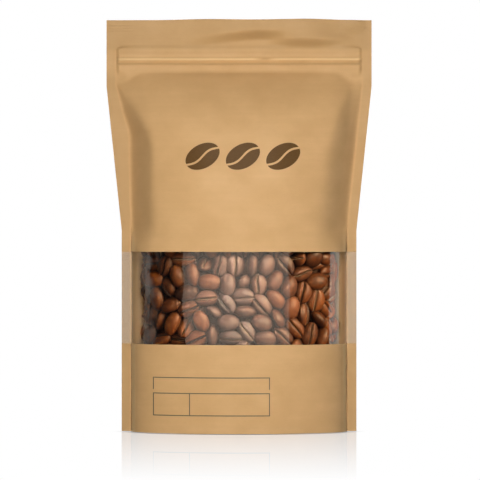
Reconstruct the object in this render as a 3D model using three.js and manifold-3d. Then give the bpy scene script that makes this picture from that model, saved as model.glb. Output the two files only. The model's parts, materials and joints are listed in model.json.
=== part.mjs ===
// Stand-up zipper pouch of brown kraft paper, filled with roasted coffee beans
// that show through a clear film window across its front.
// Millimetres, +Z up, X across the pouch, front facing -Y. The origin is on the
// floor, midway between the side seals and midway between the two panels.

import * as THREE from "three";
import { mergeVertices } from "three/addons/utils/BufferGeometryUtils.js";
import Module from "manifold-3d";

const wasm = await Module();
wasm.setup();
const { clamp, lerp, smoothstep } = THREE.MathUtils;

// Pouch
const FLAT_WIDTH = 140; // laid flat, and at the head
const BODY_WIDTH = 124; // where the filling has drawn the sides in
const HEIGHT = 217;
const HALF_DEPTH = 24; // from the middle plane out to a panel, at the floor
const BELLY = 1.5; // more half depth midway up the filled body
const SEAL = 5; // width of a side seal
const PAPER = 0.5; // one wall
const FULL_Z = 106; // the body keeps its whole depth up to here
const SHOULDER_Z = 182; // the sides start to draw in below here
const FLAT_Z = 188; // the panels meet here, under the zipper
const BODY_ROUNDNESS = 2; // section of the body: an ellipse
const HEAD_ROUNDNESS = 5; // section near FLAT_Z: nearly a box
const CLEARANCE = 0.3; // gap between neighbouring pieces

// Zipper and mouth
const ZIP_LOW = 190.2;
const ZIP_HIGH = 201.8;
const ZIP_HALF_LENGTH = 63.6;
const FLANGE = 0.5; // half thickness of the welded flanges
const BEAD_Z = 195.8;
const BEAD_HALF_HEIGHT = 1.7;
const BEAD = 1.3; // half thickness of the closed track
const MOUTH_OPENING = 0.9; // more half gap between the lips, mid mouth
const LIP_WAVE = 3.5; // how far the lips sway forward at the top edge

// Window
const WINDOW_LOW = 46.3;
const WINDOW_HIGH = 94.7;
const FILM = 0.3; // thickness
const FILM_INSET = 0.1; // the film's face lies this far under the paper's
const FILM_LAP = 1; // the film's ends run this far in from the side seals
const SEAL_CUT = 0.1; // the front paper of a seal is cut away to here

// Folded base
const GUSSET_RISE = 40; // height of the fold's ends on the side seals
const SKIRT = 5; // height of the sealed skirt in the middle
const SKIRT_WALL = 0.9; // panel and gusset sealed together
const GUSSET_SAG = 1.5; // the loaded fold hangs this far above the floor
const GUSSET_WALL = 0.7;

// Beans
const BEAN = new THREE.Vector3(11.4, 8.4, 6); // length, width, thickness
const BEAN_PITCH = 10; // along the window
const BEAN_ROW = 8.6; // up the window
const BEAN_MARGIN = 3; // covered above and below the window
const BEAN_JITTER = 0.3; // shift from its place, as a share of pitch or row
const SIDEWAYS_SHARE = 0.15; // share of the beans that lie on their side
const BEAN_ARC_END = 0.08; // part of a half turn left bare beside each seal
const BEAN_SEED = 20;
const FILL_Z = 112; // level of the filling
const CORE_SIDE_INSET = 5.5; // from a side seal to the core of the filling
const CORE_FRONT_INSET = 5; // from the front panel to the core

// Detail of the meshes
const PANEL_STEPS = 18;
const BODY_STEPS = 9;
const SHOULDER_STEPS = 11;
const CHAMBER_STEP = 14; // mm up
const GUSSET_STEPS = 8;
const BEAD_STEPS = 6;
const LIP_STEPS = 4;
const WELD = 1e-3; // points closer than this are one point

const steps = (count, from, to) =>
  Array.from({ length: count + 1 }, (_, i) => lerp(from, to, i / count));
const grid = (rows, columns, pointAt) =>
  rows.map((row) => columns.map((column) => pointAt(column, row)));

// Solids

// A closed body between two grids of points, joined round their rims. The front
// grid's columns crossed with its rows give its outward side.
function bodyBetween(front, back) {
  const rows = front.length;
  const columns = front[0].length;
  const positions = [front, back].flat(2).flatMap((p) => [p.x, p.y, p.z]);
  const F = (r, c) => r * columns + c;
  const B = (r, c) => rows * columns + F(r, c);
  const triangles = [];
  const quad = (a, b, c, d) => triangles.push(a, b, c, a, c, d);
  for (let r = 0; r < rows - 1; r++) {
    for (let c = 0; c < columns - 1; c++) {
      quad(F(r, c), F(r, c + 1), F(r + 1, c + 1), F(r + 1, c));
      quad(B(r, c), B(r + 1, c), B(r + 1, c + 1), B(r, c + 1));
    }
  }
  const top = rows - 1;
  for (let c = 0; c < columns - 1; c++) {
    quad(F(0, c), B(0, c), B(0, c + 1), F(0, c + 1));
    quad(F(top, c), F(top, c + 1), B(top, c + 1), B(top, c));
  }
  const end = columns - 1;
  for (let r = 0; r < rows - 1; r++) {
    quad(F(r, 0), F(r + 1, 0), B(r + 1, 0), B(r, 0));
    quad(F(r, end), B(r, end), B(r + 1, end), F(r + 1, end));
  }
  const geometry = new THREE.BufferGeometry();
  geometry.setAttribute("position", new THREE.Float32BufferAttribute(positions, 3));
  geometry.setIndex(triangles);
  return solid(geometry);
}

// A three.js geometry as a solid, with shared vertices merged and the triangles
// that close up to a line or a point dropped.
function solid(geometry) {
  const bare = geometry.clone();
  bare.deleteAttribute("normal");
  bare.deleteAttribute("uv");
  const merged = mergeVertices(bare, WELD);
  const index = merged.index.array;
  const triangles = [];
  for (let i = 0; i < index.length; i += 3) {
    const [a, b, c] = index.subarray(i, i + 3);
    if (a !== b && b !== c && c !== a) triangles.push(a, b, c);
  }
  const vertProperties = new Float32Array(merged.attributes.position.array);
  const triVerts = new Uint32Array(triangles);
  return new wasm.Manifold(new wasm.Mesh({ numProp: 3, vertProperties, triVerts }));
}

function box(low, high) {
  const size = new THREE.Vector3().subVectors(high, low);
  const middle = new THREE.Vector3().addVectors(low, high).divideScalar(2);
  const geometry = new THREE.BoxGeometry(size.x, size.y, size.z);
  return solid(geometry.translate(middle.x, middle.y, middle.z));
}

function namedMesh(name, made, material) {
  const { vertProperties, triVerts } = made.getMesh();
  const geometry = new THREE.BufferGeometry();
  geometry.setAttribute("position", new THREE.BufferAttribute(vertProperties, 3));
  geometry.setIndex(new THREE.BufferAttribute(triVerts, 1));
  geometry.computeVertexNormals();
  const mesh = new THREE.Mesh(geometry, material);
  mesh.name = name;
  return mesh;
}

// Form of the filled pouch

function halfWidth(z) {
  const share = clamp((z - FULL_Z) / (SHOULDER_Z - FULL_Z), 0, 1);
  return lerp(BODY_WIDTH, FLAT_WIDTH, share) / 2;
}

const panelHalfWidth = (z) => halfWidth(z) - SEAL;
const shoulderShare = (z) => clamp((z - FULL_Z) / (FLAT_Z - FULL_Z), 0, 1);

// Half depth at the middle of a panel, beyond its own paper.
function bulge(z) {
  if (z > FULL_Z) return HALF_DEPTH * (1 - shoulderShare(z) ** 3);
  return HALF_DEPTH + BELLY * Math.sin((Math.PI * z) / FULL_Z);
}

// Share of the bulge at a place across the panel, from -1 to 1.
function crown(across, z) {
  const roundness = lerp(BODY_ROUNDNESS, HEAD_ROUNDNESS, shoulderShare(z));
  return Math.sqrt(Math.max(1 - Math.abs(across) ** roundness, 0));
}

// Half thickness that the zipper and the lips above it give the head.
function headPadding(x, z) {
  const flange = FLANGE + CLEARANCE;
  if (z < ZIP_LOW - flange) return 0;
  if (z < ZIP_LOW) return flange * (1 - (ZIP_LOW - z) / flange);
  if (z > ZIP_HIGH) return flange + mouthOpening(x, z);
  const fromBead = clamp(Math.abs(z - BEAD_Z) / BEAD_HALF_HEIGHT, 0, 1);
  return flange + (BEAD - FLANGE) * Math.sqrt(1 - fromBead ** 2);
}

const lipShare = (z) => smoothstep(z, ZIP_HIGH, HEIGHT);
const mouthOpening = (x, z) =>
  MOUTH_OPENING * lipShare(z) * Math.cos((Math.PI * x) / FLAT_WIDTH) ** 2;
const lipSway = (x, z) =>
  -LIP_WAVE * lipShare(z) * Math.sin((2 * Math.PI * x) / FLAT_WIDTH) ** 2;

// Stations across the pouch: -1 to 1 over a panel, and beyond it a seal's edge.
const PANEL = steps(PANEL_STEPS, -1, 1);
const STATIONS = [-2, ...PANEL, 2];
const ZIP_LEVELS = [
  ZIP_LOW - FLANGE - CLEARANCE,
  ZIP_LOW,
  ...steps(BEAD_STEPS, BEAD_Z - BEAD_HALF_HEIGHT, BEAD_Z + BEAD_HALF_HEIGHT),
  ...steps(LIP_STEPS, ZIP_HIGH, HEIGHT),
];
const POUCH_LEVELS = [
  ...steps(BODY_STEPS, 0, FULL_Z),
  ...steps(SHOULDER_STEPS, FULL_Z, FLAT_Z).slice(1),
  ...ZIP_LEVELS,
];

// A point of the pouch's outside. Side -1 is the front and 1 the back.
function pouchPoint(station, z, side) {
  if (Math.abs(station) > 1) {
    return new THREE.Vector3(Math.sign(station) * halfWidth(z), side * PAPER, z);
  }
  const across = Math.sin((station * Math.PI) / 2);
  const x = panelHalfWidth(z) * across;
  const open = Math.abs(station) < 1 ? bulge(z) * crown(across, z) + headPadding(x, z) : 0;
  return new THREE.Vector3(x, lipSway(x, z) + side * (PAPER + open), z);
}

function pouchForm() {
  const panel = (side) =>
    grid(POUCH_LEVELS, STATIONS, (station, z) => pouchPoint(station, z, side));
  return bodyBetween(panel(-1), panel(1));
}

// The room inside the panels between two heights, kept off the sides, the front
// and the back by the insets.
function chamber(low, high, sideInset, frontInset, backInset = frontInset) {
  const levels = steps(Math.ceil((high - low) / CHAMBER_STEP), low, high);
  const wall = (side, inset) =>
    grid(levels, PANEL, (station, z) => {
      const across = Math.sin((station * Math.PI) / 2);
      const depth = (PAPER + bulge(z) - inset) * crown(across, z);
      const x = (panelHalfWidth(z) - sideInset) * across;
      return new THREE.Vector3(x, side * depth, z);
    });
  return bodyBetween(wall(-1, frontInset), wall(1, backInset));
}

// Height of the gusset's underside: low along the loaded fold, up to the skirt
// at the panels, and high where the fold is pinched into the side seals.
function gussetHeight(x, y, halfLength, halfDepth) {
  const along = clamp(Math.abs(x) / halfLength, 0, 1);
  const across = halfDepth > 0 ? clamp(Math.abs(y) / halfDepth, 0, 1) : 1;
  const fold = lerp(GUSSET_SAG, GUSSET_RISE, along ** 4);
  const skirt = lerp(SKIRT, GUSSET_RISE, along ** 4);
  return lerp(fold, skirt, across ** 4);
}

// All that lies under the gusset, raised by a given amount and reaching out past
// the panels.
function underGusset(raise) {
  const past = 2 * SEAL;
  const halfLength = panelHalfWidth(0) - SKIRT_WALL;
  const beyond = (place) => (Math.abs(place) > 1 ? Math.sign(place) * past : 0);
  const plan = (heightAt) =>
    grid([-2, ...steps(GUSSET_STEPS, -1, 1), 2], STATIONS, (station, share) => {
      const across = Math.sin((clamp(station, -1, 1) * Math.PI) / 2);
      const halfDepth = (HALF_DEPTH + PAPER - SKIRT_WALL) * crown(across, 0);
      const x = halfLength * across;
      const y = halfDepth * clamp(share, -1, 1);
      const z = heightAt(x, y, halfDepth);
      return new THREE.Vector3(x + beyond(station), y + beyond(share), z);
    });
  const top = plan((x, y, halfDepth) => gussetHeight(x, y, halfLength, halfDepth) + raise);
  return bodyBetween(top, plan(() => -past));
}

// The open space under the gusset, inside the skirt.
function baseRecess() {
  const inside = chamber(-1, GUSSET_RISE + SKIRT, SKIRT_WALL, SKIRT_WALL);
  return inside.intersect(underGusset(0));
}

// The room for the filling, kept clear of the paper by a gap.
function fillingRoom(gap) {
  const inside = chamber(1, FILL_Z - gap, PAPER + gap, PAPER + gap);
  return inside.subtract(underGusset(GUSSET_WALL + gap));
}

// Zipper

// The closed zipper's section, grown by a clearance, run across the pouch.
function zipperBar(grow) {
  const flange = FLANGE + grow;
  const bead = BEAD + grow;
  const beadHalfHeight = BEAD_HALF_HEIGHT + grow;
  const reach = Math.acos(flange / bead);
  const profile = new THREE.Shape();
  profile.moveTo(-flange, ZIP_LOW - grow);
  profile.lineTo(flange, ZIP_LOW - grow);
  profile.absellipse(0, BEAD_Z, bead, beadHalfHeight, -reach, reach);
  profile.lineTo(flange, ZIP_HIGH + grow);
  profile.lineTo(-flange, ZIP_HIGH + grow);
  profile.absellipse(0, BEAD_Z, bead, beadHalfHeight, Math.PI - reach, Math.PI + reach);
  const halfLength = ZIP_HALF_LENGTH + grow;
  const options = { depth: 2 * halfLength, bevelEnabled: false, curveSegments: BEAD_STEPS };
  const geometry = new THREE.ExtrudeGeometry(profile, options);
  const turned = new THREE.Matrix4().makeBasis(
    new THREE.Vector3(0, 1, 0),
    new THREE.Vector3(0, 0, 1),
    new THREE.Vector3(1, 0, 0),
  );
  return solid(geometry.applyMatrix4(turned).translate(-halfLength, 0, 0));
}

// The gap between the lips, from the zipper up and out of the mouth.
function mouthGap() {
  const levels = [ZIP_HIGH, ...steps(LIP_STEPS, ZIP_HIGH + CLEARANCE, HEIGHT), HEIGHT + SEAL];
  const across = steps(PANEL_STEPS, -ZIP_HALF_LENGTH, ZIP_HALF_LENGTH);
  const lip = (side) =>
    grid(levels, across, (x, z) => {
      const half = FLANGE + CLEARANCE + mouthOpening(x, z);
      return new THREE.Vector3(x, lipSway(x, z) + side * half, z);
    });
  return bodyBetween(lip(-1), lip(1));
}

// Window

const windowBox = (clearance, back) =>
  box(
    new THREE.Vector3(-FLAT_WIDTH, -FLAT_WIDTH, WINDOW_LOW + clearance),
    new THREE.Vector3(FLAT_WIDTH, back, WINDOW_HIGH - clearance),
  );

// The film lies in the cut front paper, and its ends lie on the back's seals.
function windowFilm() {
  const low = WINDOW_LOW - SEAL;
  const high = WINDOW_HIGH + SEAL;
  const under = FILM_INSET + FILM;
  const skin = chamber(low, high, FILM_INSET, FILM_INSET).subtract(
    chamber(low - SEAL, high + SEAL, under, under),
  );
  const front = FILM_INSET - PAPER;
  const ends = [-1, 1].map((side) => {
    const inner = side * (panelHalfWidth(WINDOW_LOW) - FILM_LAP);
    const outer = side * halfWidth(WINDOW_LOW);
    return box(
      new THREE.Vector3(Math.min(inner, outer), front, low),
      new THREE.Vector3(Math.max(inner, outer), front + FILM, high),
    );
  });
  const whole = skin.add(ends[0]).add(ends[1]);
  return whole.intersect(windowBox(CLEARANCE, front + FILM));
}

// Filling

function seededRandom(seed) {
  let state = seed;
  return () => {
    state = (state * 1664525 + 1013904223) % 4294967296;
    return state / 4294967296;
  };
}

// One coffee bean with few sides: length along X, its creased flat face up.
function beanSolid() {
  const section = [
    [0, 0.35],
    [0.35, 0.9],
    [1, 0.1],
    [0, -1],
    [-1, 0.1],
    [-0.35, 0.9],
    [0, 0.35],
  ];
  const stations = [-1, -0.65, 0, 0.65, 1];
  const skin = grid(stations, section, ([width, thickness], along) => {
    const girth = Math.sqrt(1 - along ** 2);
    return new THREE.Vector3(along, width * girth, thickness * girth)
      .multiply(BEAN)
      .multiplyScalar(0.5);
  });
  const positions = [];
  for (let r = 0; r < stations.length - 1; r++) {
    for (let c = 0; c < section.length - 1; c++) {
      const [a, b, d, e] = [skin[r][c], skin[r + 1][c], skin[r + 1][c + 1], skin[r][c + 1]];
      for (const p of [a, b, d, a, d, e]) positions.push(p.x, p.y, p.z);
    }
  }
  const geometry = new THREE.BufferGeometry();
  geometry.setAttribute("position", new THREE.Float32BufferAttribute(positions, 3));
  return solid(geometry);
}

// The line along the front panel that the beans of one row lie against.
function beanWall(z) {
  const inset = PAPER + 2 * CLEARANCE;
  const halfLength = panelHalfWidth(z) - inset;
  const depth = PAPER + bulge(z) - inset;
  const start = Math.PI * (1 + BEAN_ARC_END);
  const end = Math.PI * (2 - BEAN_ARC_END);
  return new THREE.EllipseCurve(0, 0, halfLength, depth, start, end);
}

// One bean against the wall: turned at random, on its face, its back or its side.
function beanPlace(point, along, z, random) {
  const outward = new THREE.Vector3(along.y, -along.x, 0);
  const sideways = random() < SIDEWAYS_SHARE;
  const turn = random() * Math.PI;
  const lengthwise = new THREE.Vector3(along.x, along.y, 0)
    .multiplyScalar(Math.cos(turn))
    .add(new THREE.Vector3(0, 0, Math.sin(turn)));
  const face = outward.clone().multiplyScalar(random() < 0.5 ? 1 : -1);
  if (sideways) face.cross(lengthwise);
  const widthwise = new THREE.Vector3().crossVectors(face, lengthwise);
  const depth = (sideways ? BEAN.y : BEAN.z) / 2;
  return new THREE.Matrix4()
    .makeBasis(lengthwise, widthwise, face)
    .setPosition(point.x - outward.x * depth, point.y - outward.y * depth, z);
}

// Offset rows of beans behind the film.
function beanPlaces() {
  const random = seededRandom(BEAN_SEED);
  const jitter = () => BEAN_JITTER * (random() - 0.5);
  const low = WINDOW_LOW - BEAN_MARGIN;
  const rows = Math.floor((WINDOW_HIGH + BEAN_MARGIN - low) / BEAN_ROW) + 1;
  return Array.from({ length: rows }, (_, row) => {
    const z = low + row * BEAN_ROW;
    const wall = beanWall(z);
    const count = Math.floor(wall.getLength() / BEAN_PITCH);
    const shift = row % 2 ? 0.75 : 0.25;
    return Array.from({ length: count }, (_, i) => {
      const at = clamp((i + shift + jitter()) / count, 0, 1);
      const lift = BEAN_ROW * jitter();
      return beanPlace(wall.getPointAt(at), wall.getTangentAt(at), z + lift, random);
    });
  }).flat();
}

// The heap, without scraps and sealed hollows that fusing can leave.
function beanHeap() {
  const gap = PAPER + CLEARANCE;
  const core = chamber(1, FILL_Z - CLEARANCE, CORE_SIDE_INSET, CORE_FRONT_INSET, gap);
  const bean = beanSolid();
  const fused = beanPlaces().reduce((heap, place) => heap.add(bean.transform(place.elements)), core);
  const pieces = fused.intersect(fillingRoom(CLEARANCE)).decompose();
  return pieces.reduce((best, piece) => (piece.volume() > best.volume() ? piece : best));
}

// The paper pouch: solid above the filling, a shell around it, open at the window
// and at the mouth.
function paperPouch() {
  return pouchForm()
    .subtract(baseRecess())
    .subtract(fillingRoom(0))
    .subtract(windowBox(0, SEAL_CUT))
    .subtract(zipperBar(CLEARANCE))
    .subtract(mouthGap());
}

const kraft = new THREE.MeshStandardMaterial({ color: 0xc9a06d, roughness: 0.75 });
const clearFilm = new THREE.MeshStandardMaterial({
  color: 0xffffff,
  roughness: 0.08,
  transparent: true,
  opacity: 0.2,
});
const zipperPlastic = new THREE.MeshStandardMaterial({ color: 0xe9e6dd, roughness: 0.35 });
const roastedBean = new THREE.MeshStandardMaterial({ color: 0x5a3018, roughness: 0.5 });

const pouch = new THREE.Group();
pouch.add(
  namedMesh("paper_pouch", paperPouch(), kraft),
  namedMesh("window_film", windowFilm(), clearFilm),
  namedMesh("zipper", zipperBar(0), zipperPlastic),
  namedMesh("bean_heap", beanHeap(), roastedBean),
);

export default pouch;
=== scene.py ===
"""Looks of a kraft-paper zipper pouch of roasted coffee beans.

The pouch stands on its folded base. Its paper, clear window, beans and print are
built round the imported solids. X runs across the pouch, the front faces -Y and Z is
up. Sizes are in millimetres and become metres where a mesh is made. Finishes and
the studio are in metres.
"""

import json
import logging
import math
from dataclasses import dataclass, field
from enum import Enum

import bpy
import numpy as np
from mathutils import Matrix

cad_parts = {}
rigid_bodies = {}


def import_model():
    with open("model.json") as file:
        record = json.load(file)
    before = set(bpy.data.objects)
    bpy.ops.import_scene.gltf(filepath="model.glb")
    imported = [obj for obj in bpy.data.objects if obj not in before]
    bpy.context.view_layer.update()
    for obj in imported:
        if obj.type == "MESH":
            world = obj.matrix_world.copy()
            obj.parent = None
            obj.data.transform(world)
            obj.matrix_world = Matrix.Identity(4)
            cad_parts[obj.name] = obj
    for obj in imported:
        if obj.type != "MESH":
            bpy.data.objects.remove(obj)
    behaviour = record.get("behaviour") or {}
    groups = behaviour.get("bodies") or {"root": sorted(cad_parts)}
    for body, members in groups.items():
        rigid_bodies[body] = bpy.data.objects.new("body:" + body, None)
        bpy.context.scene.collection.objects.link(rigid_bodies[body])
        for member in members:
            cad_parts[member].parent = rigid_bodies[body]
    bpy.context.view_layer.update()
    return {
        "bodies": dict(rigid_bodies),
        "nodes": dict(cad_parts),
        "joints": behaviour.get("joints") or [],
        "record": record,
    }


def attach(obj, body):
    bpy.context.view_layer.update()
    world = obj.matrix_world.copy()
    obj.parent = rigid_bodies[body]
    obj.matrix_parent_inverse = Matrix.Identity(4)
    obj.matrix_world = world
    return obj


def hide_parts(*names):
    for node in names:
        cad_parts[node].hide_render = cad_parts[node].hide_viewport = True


LOG = logging.getLogger("pouch")
MM = 0.001
BODY = "root"
FLAT_ANGLE = math.radians(50)
SMALLEST = 1e-9
WHITE = (1.0, 1.0, 1.0)
# Where most of a noise lies.
NOISE_MIDDLE = (0.3, 0.7)
# Sockets of a colour mix: the share and two colours, and the result.
MIX_INPUTS = (0, 6, 7)
MIX_RESULT = 2
# Watts of an area lamp for a radiance of 1 over a square metre.
LAMP_FACTOR = 4.0

Array = np.ndarray
Piece = bpy.types.Object
Material = bpy.types.Material
Socket = bpy.types.NodeSocket
Colour = tuple[float, float, float]
Place = tuple[float, float, float]
Span = tuple[float, float]
Row = tuple[float, ...]
Sheet = tuple[Array, Array]


class Side(Enum):
    """A panel of the pouch, with the sign of Y on its outside."""

    FRONT = -1
    BACK = 1


class Reach(Enum):
    """What a light falls on, with the state of the beans in its link."""

    ALL = "ALL"
    BEANS = "INCLUDE"
    ALL_BUT_BEANS = "EXCLUDE"


class Lay(Enum):
    """How a bean lies against the window, with its roll."""

    CREASE_OUT = 0.0
    BACK_OUT = math.pi
    ON_EDGE = math.pi / 2.0


def smooth(share: Array) -> Array:
    """Eases a share from 0 to 1, level at both ends."""
    held = np.clip(share, 0.0, 1.0)
    return held * held * (3.0 - 2.0 * held)


def soft_least(first: Array, second: Array, softness: Array) -> Array:
    """The lesser of two heights, rounded where they meet."""
    near = np.clip(1.0 - np.abs(first - second) / softness, 0.0, 1.0)
    return np.minimum(first, second) - softness * near**2 / 4.0


def swell(distance: Array, width: float) -> Array:
    """A soft bump of height 1 over the given half width."""
    return np.exp(-((distance / width) ** 2))


def unit(vectors: Array) -> Array:
    """Vectors of the same directions with a length of 1."""
    return vectors / np.maximum(np.linalg.norm(vectors, axis=-1, keepdims=True), SMALLEST)


def grid_normals(points: Array) -> Array:
    """Unit normals of a grid of points.

    Args:
        points: Rows by columns by XYZ.

    Returns:
        The normals on the side where columns crossed with rows point.
    """
    return unit(np.cross(np.gradient(points, axis=1), np.gradient(points, axis=0)))


@dataclass(frozen=True)
class Ease:
    """A rise from 0 to 1, level at both ends: where it starts and how far it runs."""

    start: float
    run: float

    def at(self, place: Array) -> Array:
        """Height of the rise at a place."""
        return smooth((place - self.start) / self.run)


def add_mesh(name: str, points: Array, faces: list[list[int]]) -> Piece:
    """Makes a mesh object with smooth faces and sharp rims.

    Args:
        name: The piece's name.
        points: Vertices in millimetres.
        faces: Vertex numbers of each face.

    Returns:
        The new object, linked to the scene.
    """
    mesh = bpy.data.meshes.new(name)
    mesh.from_pydata((points * MM).tolist(), [], faces)
    mesh.polygons.foreach_set("use_smooth", [True] * len(mesh.polygons))
    mesh.set_sharp_from_angle(angle=FLAT_ANGLE)
    piece = bpy.data.objects.new(name, mesh)
    bpy.context.scene.collection.objects.link(piece)
    return piece


def sheet_faces(rows: int, columns: int) -> Array:
    """Faces of a closed sheet made of two grids, outer first, and their rims.

    Args:
        rows: Rows of each grid.
        columns: Columns of each grid.

    Returns:
        Vertex numbers, four to a face.
    """
    outer = np.arange(rows * columns).reshape(rows, columns)
    inner = outer + rows * columns

    def band(*corners: Array) -> Array:
        """Joins four rows of corners into faces."""
        return np.stack(corners, axis=-1).reshape(-1, 4)

    return np.concatenate([
        band(outer[:-1, :-1], outer[:-1, 1:], outer[1:, 1:], outer[1:, :-1]),
        band(inner[:-1, :-1], inner[1:, :-1], inner[1:, 1:], inner[:-1, 1:]),
        band(outer[0, :-1], inner[0, :-1], inner[0, 1:], outer[0, 1:]),
        band(outer[-1, :-1], outer[-1, 1:], inner[-1, 1:], inner[-1, :-1]),
        band(outer[:-1, 0], outer[1:, 0], inner[1:, 0], inner[:-1, 0]),
        band(outer[:-1, -1], inner[:-1, -1], inner[1:, -1], outer[1:, -1]),
    ])


def add_sheets(name: str, sheets: list[Sheet]) -> Piece:
    """Makes one piece of one or more closed sheets.

    Args:
        name: The piece's name.
        sheets: An outer and an inner grid for each sheet.

    Returns:
        The new object.
    """
    points: list[Array] = []
    faces: list[Array] = []
    start = 0
    for outer, inner in sheets:
        rows, columns = outer.shape[:2]
        points += [outer.reshape(-1, 3), inner.reshape(-1, 3)]
        faces.append(sheet_faces(rows, columns) + start)
        start += 2 * rows * columns
    return add_mesh(name, np.concatenate(points), np.concatenate(faces).tolist())


def paint(piece: Piece, name: str, values: Array) -> None:
    """Keeps a value at each vertex, for a finish to read.

    Args:
        piece: The mesh object.
        name: The value's name.
        values: One number to a vertex.
    """
    layer = piece.data.attributes.new(name, "FLOAT", "POINT")
    layer.data.foreach_set("value", values.astype(np.float32))


@dataclass(frozen=True)
class Grain:
    """A noise: its repeats per metre along X, Y and Z, and its layers of detail."""

    repeats: Place
    layers: float


class Shader:
    """A material's node tree, filled from textures to output."""

    def __init__(self, tree: bpy.types.NodeTree) -> None:
        """Empties the tree."""
        self.tree = tree
        tree.nodes.clear()

    def add(self, kind: str, inputs: dict | None = None, **settings: object) -> bpy.types.Node:
        """Adds a node.

        Args:
            kind: The node's type, without its ShaderNode prefix.
            inputs: Values, or sockets to link, by input name or number.
            settings: Attributes of the node.

        Returns:
            The new node.
        """
        node = self.tree.nodes.new("ShaderNode" + kind)
        for key, value in settings.items():
            setattr(node, key, value)
        for key, value in (inputs or {}).items():
            socket = node.inputs[key]
            if isinstance(value, Socket):
                self.tree.links.new(value, socket)
            else:
                socket.default_value = value
        return node

    def noise(self, grain: Grain) -> Socket:
        """Adds a noise stretched over the object.

        Args:
            grain: Its spread and its detail.

        Returns:
            The noise.
        """
        place = self.add("TexCoord").outputs["Object"]
        spread = self.add("Mapping", {"Vector": place, "Scale": grain.repeats}).outputs[0]
        inputs = {"Vector": spread, "Scale": 1.0, "Detail": grain.layers}
        return self.add("TexNoise", inputs).outputs["Fac"]

    def ramp(self, value: Socket, start: Span, end: tuple[Socket | float, float]) -> Socket:
        """Maps one range of a value to another and holds it there."""
        names = ("From Min", "From Max", "To Min", "To Max")
        return self.add("MapRange", {"Value": value, **dict(zip(names, (*start, *end)))}).outputs[0]

    def between(self, noise: Socket, end: Span) -> Socket:
        """Maps the middle of a noise to a range."""
        return self.ramp(noise, NOISE_MIDDLE, end)

    def combine(self, operation: str, *values: Socket | float) -> Socket:
        """Combines two or three numbers."""
        return self.add("Math", dict(enumerate(values)), operation=operation).outputs[0]

    def painted(self, name: str) -> Socket:
        """A value kept at the vertices."""
        return self.add("Attribute", attribute_name=name).outputs["Fac"]

    def bump(self, height: Socket, strength: Socket | float, depth: float) -> Socket:
        """Normals of a fine relief."""
        inputs = {"Height": height, "Strength": strength, "Distance": depth}
        return self.add("Bump", inputs).outputs[0]

    def blend(self, share: Socket | float, first: Colour | Socket, second: Colour | Socket) -> Socket:
        """Mixes two colours.

        Args:
            share: Share of the second.
            first: A colour or a socket.
            second: A colour or a socket.

        Returns:
            The mixed colour.
        """
        ends = [(*end, 1.0) if isinstance(end, tuple) else end for end in (first, second)]
        inputs = dict(zip(MIX_INPUTS, (share, *ends)))
        return self.add("Mix", inputs, data_type="RGBA").outputs[MIX_RESULT]

    def finish(self, surface: bpy.types.Node) -> None:
        """Shows a shader as the surface."""
        self.add("OutputMaterial", {"Surface": surface.outputs[0]})


def new_shader(name: str) -> tuple[Material, Shader]:
    """Makes an empty material.

    Args:
        name: The material's name.

    Returns:
        The material and its tree.
    """
    material = bpy.data.materials.new(name)
    material.use_nodes = True
    return material, Shader(material.node_tree)


@dataclass(frozen=True)
class KraftPaper:
    """Matte brown kraft paper with long fibres lying across the pouch."""

    pale: Colour = (0.735, 0.447, 0.197)
    deep: Colour = (0.66, 0.391, 0.165)
    fleck: Colour = (0.50, 0.285, 0.112)
    lining: Colour = (0.78, 0.50, 0.24)
    # Darker tone along the side seals, also used as painted shade in the zipper's groove, on the lips
    # and along their folds.
    seal_and_shade_tone: Colour = (0.47, 0.287, 0.118)
    # Painted light: a highlight line along the zipper's bead, and a paler strip at the foot of the
    # front's side seals where the steep paper would be in shade.
    wear_and_painted_light: Colour = (0.99, 0.68, 0.33)
    mottle: Grain = Grain((70.0, 70.0, 95.0), 4.0)
    streak: Grain = Grain((22.0, 22.0, 520.0), 3.0)
    fibre: Grain = Grain((620.0, 620.0, 5200.0), 2.0)
    tooth: Grain = Grain((3800.0, 3800.0, 3800.0), 2.0)
    streak_share: float = 0.4
    fleck_range: Span = (0.6, 0.78)
    fleck_share: float = 0.3
    seal_and_shade_share: float = 0.85
    roughness: Span = (0.5, 0.64)
    # Glossier along the zipper's bead, under its painted highlight.
    highlight_roughness: float = 0.36
    specular: float = 0.35
    relief: float = 0.00012
    relief_shares: Span = (0.35, 0.05)

    def build(self) -> Material:
        """Makes the material.

        Returns:
            The material, which reads what is lined, the darker seals and the painted shade, and the
            painted light.
        """
        material, tree = new_shader("kraft_paper")
        mottle = tree.noise(self.mottle)
        streak = tree.noise(self.streak)
        fibre = tree.noise(self.fibre)
        painted_light = tree.painted("painted_light")
        flecks = tree.ramp(fibre, self.fleck_range, (0.0, self.fleck_share))
        tone = tree.blend(tree.between(mottle, (0.0, 1.0)), self.pale, self.deep)
        tone = tree.blend(tree.between(streak, (0.0, self.streak_share)), tone, self.deep)
        tone = tree.blend(flecks, tone, self.fleck)
        tone = tree.blend(tree.painted("lined"), tone, self.lining)
        # Darker along the side seals, and painted shade in the zipper's groove, on the lips and along
        # their folds.
        seal_and_shade_tone = tree.blend(self.seal_and_shade_share, tone, self.seal_and_shade_tone)
        tone = tree.blend(tree.painted("dark_seal_and_shade"), tone, seal_and_shade_tone)
        matte = tree.between(mottle, self.roughness)
        height = tree.combine("ADD", fibre, tree.noise(self.tooth))
        strength = tree.ramp(painted_light, (0.0, 1.0), self.relief_shares)
        surface = tree.add("BsdfPrincipled", {
            # Painted light: paler and glossier, with less relief, along the zipper's bead and at the
            # foot of the front's side seals.
            "Base Color": tree.blend(painted_light, tone, self.wear_and_painted_light),
            "Roughness": tree.ramp(painted_light, (0.0, 1.0), (matte, self.highlight_roughness)),
            "Specular IOR Level": self.specular,
            "Normal": tree.bump(height, strength, self.relief),
        })
        tree.finish(surface)
        return material


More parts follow.
